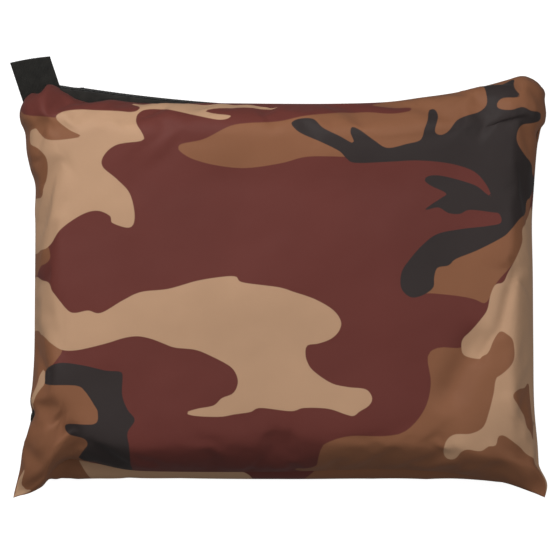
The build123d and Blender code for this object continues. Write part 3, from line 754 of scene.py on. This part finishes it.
for side, start in HALVES:
    part = half(fine, side)
    fabric = slab("front_fabric_" + side, fine[part], fabric_in[part], "camo_nylon")
    print_camo(fabric, {ink: d[part] for ink, d in depths.items()})
    piece(fabric, opening(start), ["front_panel"])
    part = half(foam_out, side)
    foam = slab("front_foam_" + side, foam_out[part], foam_in[part], "foam")
    piece(foam, opening(start), ["front_foam"])
    lining = slab("front_lining_" + side, lining_out[part], lining_in[part], "lining")
    piece(lining, opening(start), ["front_lining"])

# ---------------------------------------------------------------- back half: lies on the table

zip_x = np.linspace(-138, 150, 13)
# How far the back's bottom lip shows past the seam, at each x
LIP = [(-165, 0), (-150, 1.5), (-142, 4.5), (-136, 10.7), (-130, 13.4), (-122, 12.3), (-112, 10.1), (-92, 5.3),
       (-60, 4.7), (0, 5.3), (60, 6.7), (94, 5.8), (118, 2.9), (141, 0.3), (167, 0)]


def bottom_lip(share):
    """The lip at each share of the way along the bottom edge."""
    x = at(FRONT["bottom"], share)[:, 0]
    return np.interp(x, *zip(*LIP))


BACK = dict(FRONT)
along_zip = np.stack([zip_x, zip_y(zip_x) - 2.2], axis=1)
BACK["top"] = curve(np.vstack([FRONT["top"][:1], [(-149, 117.5)], along_zip, [(158, 114)], FRONT["top"][-1:]]))
back, rise, inside, stretch = panel(
    BACK, back_edge_z, -(SEAM - floor_z - 0.9), (20, 20, 20, 18), 3.0, bulge=(3.5, 4.5, bottom_lip))
back[..., 2] += ripples(back, seed=11, count=8, lengths=(24, 60), size=0.5) * rise * (1 - rise) * 4
back[..., 2] = np.maximum(back[..., 2], floor_z + 0.05)
back_layers = layers(back, inside, -1)
fine = turned_in(refine(back), -1)
fine[..., 2] = np.maximum(fine[..., 2], floor_z + 0.05)

# The print slips along the side walls. The underside has its own stretch of it, turned half round, inside a wavy
# line.
slip = 1.3 * np.minimum(inside, 13) * smooth((abs(back[..., 0]) - 128) / 14)
slip *= smooth((back[..., 1] + 112) / 20) * smooth((100 - back[..., 1]) / 20)
print_at = refine(np.dstack([back[..., 0] + stretch[..., 0], back[..., 1] + slip, inside]))
print_at = np.concatenate([print_at] + [print_at[-1:]] * (len(fine) - len(print_at)))
under = print_at[..., 2] - 13 - 4 * np.sin(print_at[..., 0] / 17) * np.cos(print_at[..., 1] / 21)
walls = print_depths(print_at[..., :2].reshape(-1, 2))
underside = print_depths(((12, -6) - print_at[..., :2] * 0.95).reshape(-1, 2))
depths = {
    ink: np.maximum(np.minimum(walls[ink].reshape(under.shape), -under),
                    np.minimum(underside[ink].reshape(under.shape), under))
    for ink in CAMO
}
fabric = slab("back_fabric", flip(fine), flip(fine + normals(fine) * FABRIC), "camo_nylon")
print_camo(fabric, {ink: flip(d) for ink, d in depths.items()})
piece(fabric, "shell", ["back_panel", "corner_ear_left", "corner_ear_right"])
foam_out, foam_in, lining_out, lining_in = (flip(g) for g in back_layers)
piece(slab("back_foam_pad", foam_out, foam_in, "foam"), "shell", ["back_foam"])
lining = slab("back_lining_film", lining_out, lining_in, "lining")
piece(lining, "shell", ["back_lining"])


# ---------------------------------------------------------------- seam binding, zip and webbing tab


def strip(name, lines, thickness, slot, rounds=1):
    """A strip of cloth through several lines of points."""
    grid = np.stack(lines)
    for _ in range(rounds):
        grid = refine(grid)
    half_way = normals(grid) * thickness / 2
    return slab(name, grid + half_way, grid - half_way, slot)


def seam_binding():
    """The bound allowance inside the side and bottom seams."""
    path = curve(np.vstack([
        at(FRONT["left"], np.linspace(0.9, 0.17, 12)), at(FRONT["bottom"], np.linspace(0.14, 0.88, 16)),
        at(FRONT["right"], np.linspace(0.15, 0.9, 12))]), 220)
    rings = [np.column_stack([path * (1 - np.array([inset / 160, inset / 120])), np.full(len(path), SEAM)])
             for inset in (11.5, 7.0, 2.5)]
    return strip("seam_binding", rings, 0.6, "binding", 0)


piece(seam_binding(), "shell", ["side_binding_left", "side_binding_right", "bottom_binding"])


def tape(name, side, x_from, x_to, edge):
    """Zip tape: from under the coil's teeth out to the hem of one half. side is 1 on the front, -1 on the back."""
    x = np.linspace(x_from, x_to, max(8, int((x_to - x_from) / 2.2)))
    hem = np.interp(x, edge[:, 0], edge[:, 1]) - 1.5
    under = zip_y(x) - 1.0
    rows = [np.column_stack([x, y, SEAM + side * z + 0 * x]) for y, z in (
        (under, 0.9), (under, 2.4), (under, 3.9), (0.94 * under + 0.06 * hem, 5.0), (0.5 * (under + hem), 5.35),
        (hem, 5.5))]
    return strip(name, rows[::-side], 0.45, "zip_tape")


def tube(line, radius, sides):
    """The points and faces of a closed round tube along a line."""
    ahead = np.gradient(line, axis=0)
    ahead /= np.linalg.norm(ahead, axis=1, keepdims=True)
    away = np.cross(ahead, (1, 0, 0.01))
    away /= np.linalg.norm(away, axis=1, keepdims=True)
    across = np.cross(ahead, away)
    ring = np.linspace(0, 2 * math.pi, sides, endpoint=False)[None, :, None]
    points = line[:, None] + radius * (np.cos(ring) * away[:, None] + np.sin(ring) * across[:, None])
    i = np.arange(points[..., 0].size).reshape(points.shape[:2])
    j = np.roll(i, -1, axis=1)
    faces = np.stack([i[:-1], i[1:], j[1:], j[:-1]], axis=-1).reshape(-1, 4).tolist()
    return points.reshape(-1, 3), faces + [i[0].tolist(), i[-1, ::-1].tolist()]


def coil(name, side, x_from, x_to):
    """One row of coil teeth: a flattened helix of nylon wire round a cord. The other row sits half a tooth on."""
    turns = int((x_to - x_from) / TOOTH)
    theta = np.arange(turns * 12 + 1) * (2 * math.pi / 12)
    x = x_from + TOOTH * theta / (2 * math.pi) + (0 if side > 0 else TOOTH / 2)
    helix = np.column_stack([x, zip_y(x) + 0.75 * np.cos(theta), SEAM + side * (1.2 + 1.95 * np.sin(theta))])
    wire, wire_faces = tube(helix, WIRE / 2, 6)
    x = x[::6]
    cord, cord_faces = tube(np.column_stack([x, zip_y(x) - 0.25, SEAM + side * 1.75 + 0 * x]), 0.85, 8)
    mesh = bpy.data.meshes.new(name)
    shifted = [[v + len(wire) for v in face] for face in cord_faces]
    mesh.from_pydata((np.concatenate([wire, cord]) * MM).tolist(), [], wire_faces + shifted)
    mesh.shade_smooth()
    return dress(mesh, "zip_coil")


def stop(name, x, side):
    """A metal stop crimped round one row of coil."""
    half_size = np.array([1.4, 1.3, 1.5])
    corner = np.array([[sx, sy, sz] for sz in (-1, 1) for sy in (-1, 1) for sx in (-1, 1)])
    mesh = bpy.data.meshes.new(name)
    centre = np.array([x, float(zip_y(x)) - 0.05, SEAM + side * 2.2])
    faces = [(0, 2, 3, 1), (4, 5, 7, 6), (0, 1, 5, 4), (2, 6, 7, 3), (0, 4, 6, 2), (1, 3, 7, 5)]
    mesh.from_pydata(((centre + corner * half_size) * MM).tolist(), [], faces)
    obj = dress(mesh, "zip_metal")
    bevel = obj.modifiers.new("bevel", "BEVEL")
    bevel.width = 0.35 * MM
    bevel.segments = 3
    return obj


for side, start in HALVES:
    x_from, x_to = (ZIP_LEFT, OPEN_MIDDLE) if side == "left" else (OPEN_MIDDLE, ZIP_RIGHT)
    strip_of_tape = tape("front_tape_" + side, 1, x_from, x_to, FRONT["top"])
    piece(strip_of_tape, opening(start), ["front_tape"])
    piece(coil("front_coil_" + side, 1, x_from, x_to), opening(start), ["front_coil"])
piece(stop("front_stop", 143.5, 1), opening(OPEN_RIGHT), ["top_stop_front"])
piece(stop("back_stop", 143.5, -1), "shell", ["top_stop_back"])
piece(stop("end_stop", -122.5, -1), "shell", ["bottom_stop"])
piece(tape("back_zip_tape", -1, ZIP_LEFT, ZIP_RIGHT, BACK["top"]), "shell", ["back_tape"])
piece(coil("back_zip_coil", -1, ZIP_LEFT, ZIP_RIGHT), "shell", ["back_coil"])


def end_tab(name, x_from):
    """A short fold of tape that closes the gap past one end of the zip."""
    x = np.linspace(x_from, x_from + 9, 6)
    profile = ((-3.6, -0.9), (-9, -1.1), (-13.4, -0.8), (-14.1, 0.0), (-13.4, 0.7), (-9, 0.9), (-3.6, 0.7))
    lines = [np.column_stack([x, zip_y(x) + y, SEAM - 1.1 + z + 0 * x]) for y, z in profile]
    return strip(name, lines, 0.5, "zip_tape")


piece(end_tab("end_tab_left", -146.5), "shell", ["zip_end_tab_left"])
piece(end_tab("end_tab_right", 153.0), "shell", ["zip_end_tab_right"])

# The webbing tab: 25 mm webbing folded double, ribbed along its length
hinge = JOINTS["loop_flex"]
flex_at = Vector(hinge["pos_m"])
lean = math.atan2(hinge["axis"][1], hinge["axis"][0])
side_way, out_way = Vector((math.cos(lean), math.sin(lean), 0)), Vector((-math.sin(lean), math.cos(lean), 0))


def webbing():
    u = np.linspace(-12.5, 12.5, 101)
    reach = 17.5 - 2.0 * u / 12.5 + 0.5 * (1 - (u / 12.5) ** 2) - 0.75
    turn = np.linspace(math.pi / 2, -math.pi / 2, 9)
    run = np.linspace(-15, 0, 30, endpoint=False) / 15
    rows = [((15 + reach) * (1 + r) - 15, 0.75 + 0 * u) for r in run]
    rows += [(reach + 0.75 * math.cos(a), 0.75 * math.sin(a) + 0 * u) for a in turn]
    rows += [((15 + reach) * (1 + r) - 15, -0.75 + 0 * u) for r in run[::-1]]
    local = np.array([np.column_stack([u, v, w]) for v, w in rows])
    frame_axes = np.array([side_way, out_way, (0, 0, 1)])
    grid = local @ frame_axes + np.array(flex_at) / MM
    out = normals(grid)
    rib = 0.1 * np.cos(2 * math.pi * u / 1.25)[None, :, None]
    return slab("webbing_tab", grid + out * (0.5 + rib), grid - out * 0.52, "webbing", 70)


tab = webbing()
piece(tab, ("loop", flex_at - out_way * 0.0028, flex_at + out_way * 0.0028), ["grab_loop", "loop_anchor"])

# ---------------------------------------------------------------- camera, light and floor


def area_light(name, where, target, size, power):
    light = bpy.data.lights.new(name, "AREA")
    light.shape = "DISK"
    light.size = size
    light.energy = power
    obj = bpy.data.objects.new(name, light)
    obj.location = where
    obj.rotation_euler = (Vector(target) - Vector(where)).to_track_quat("-Z", "Y").to_euler()
    bpy.context.scene.collection.objects.link(obj)


def studio():
    bpy.ops.mesh.primitive_plane_add(size=60, location=(0, 0, floor_z * MM - 0.0002))
    floor = bpy.context.object
    floor.name = "table"
    m, tree, shader = material("table_white", 0.9, specular=0.0)
    shader.inputs["Base Color"].default_value = (0.3, 0.3, 0.3, 1)
    shader.inputs["Emission Color"].default_value = (1, 1, 1, 1)
    shader.inputs["Emission Strength"].default_value = 0.93
    floor.data.materials.append(m)
    floor.visible_diffuse = floor.visible_glossy = False
    area_light("key", (-0.36, 0.5, 0.68), (0, 0, 0.03), 0.75, 6.6)
    area_light("fill", (0.8, 0.1, 0.95), (0, 0, 0.03), 0.8, 3.4)
    world = bpy.data.worlds.new("studio")
    world.use_nodes = True
    tree = world.node_tree
    direction = node(tree, "ShaderNodeTexCoord").outputs["Generated"]
    up = node(tree, "ShaderNodeSeparateXYZ", None, i0=direction).outputs[2]
    glow = spread(tree, up, -0.15, 0.1, 0.12, 0.3)
    tree.links.new(glow, tree.nodes["Background"].inputs["Strength"])
    tree.nodes["Background"].inputs["Color"].default_value = (1, 1, 1, 1)
    bpy.context.scene.world = world
    bpy.context.scene.view_settings.view_transform = "Standard"


def camera():
    """Straight down on the bag, with a long lens."""
    height, frame_width, aim_z = 5.0, 0.3469, 0.027
    data = bpy.data.cameras.new("camera")
    data.sensor_width = 36
    data.lens = 36 * height / frame_width
    data.clip_end = 60
    obj = bpy.data.objects.new("camera", data)
    obj.location = (-0.0003, 0.0, height + aim_z)
    bpy.context.scene.collection.objects.link(obj)
    bpy.context.scene.camera = obj


studio()
camera()

for name, obj in frame["nodes"].items():
    slot = next(s["material_slot"] for s in frame["record"]["subparts"] if s["node"] == name)
    obj.data.materials.clear()
    obj.data.materials.append(MATERIALS[slot])
